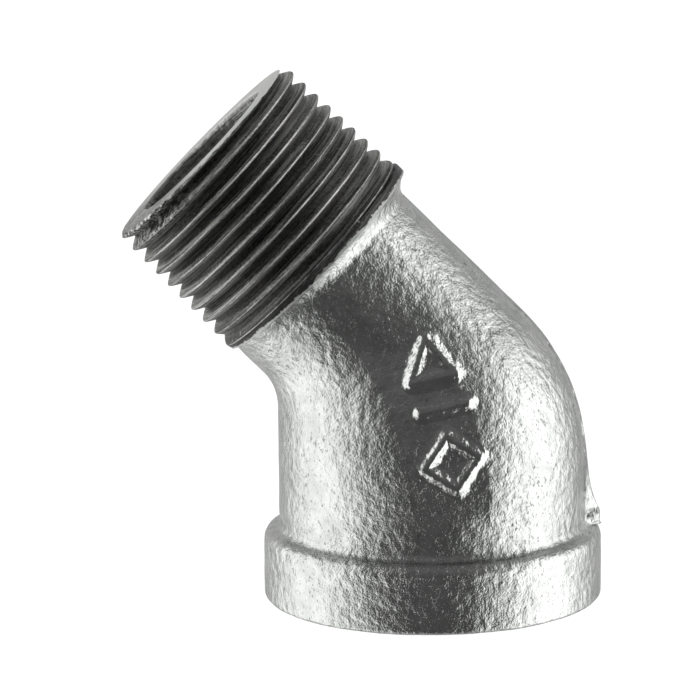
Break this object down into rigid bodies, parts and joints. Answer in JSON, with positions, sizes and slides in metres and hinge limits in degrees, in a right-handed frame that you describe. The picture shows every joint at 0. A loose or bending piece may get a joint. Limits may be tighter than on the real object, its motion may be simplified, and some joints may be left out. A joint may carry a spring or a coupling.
{
  "type": "pipe elbow",
  "caption": "45 degree street elbow in galvanised malleable iron: taper-threaded spigot at one end, banded tapped socket at the other.",
  "frame": {"origin": "centre of the bounding box's underside, on the plane of the socket's mouth", "axes": "+Z along the socket's axis, from its mouth up into the bend; the bend lies in the XZ plane and the spigot leans 45 degrees from +Z towards -X; the whole part is longest along Z and narrowest along Y"},
  "size_m": [0.0518, 0.037, 0.0582],
  "materials": {
    "galvanised_casting": "hot-dip zinc over a fine sand-cast skin, bright and slightly rough",
    "cut_thread": "machined dark iron, oiled, with bright crest lines"
  },
  "bodies": {
    "root": {"cast_body": "galvanised_casting", "socket_band": "galvanised_casting", "thread_shoulder": "galvanised_casting", "mark_lozenge": "galvanised_casting", "mark_bar": "galvanised_casting", "mark_triangle": "galvanised_casting", "male_thread": "cut_thread", "female_thread": "cut_thread"}
  },
  "joints": []
}
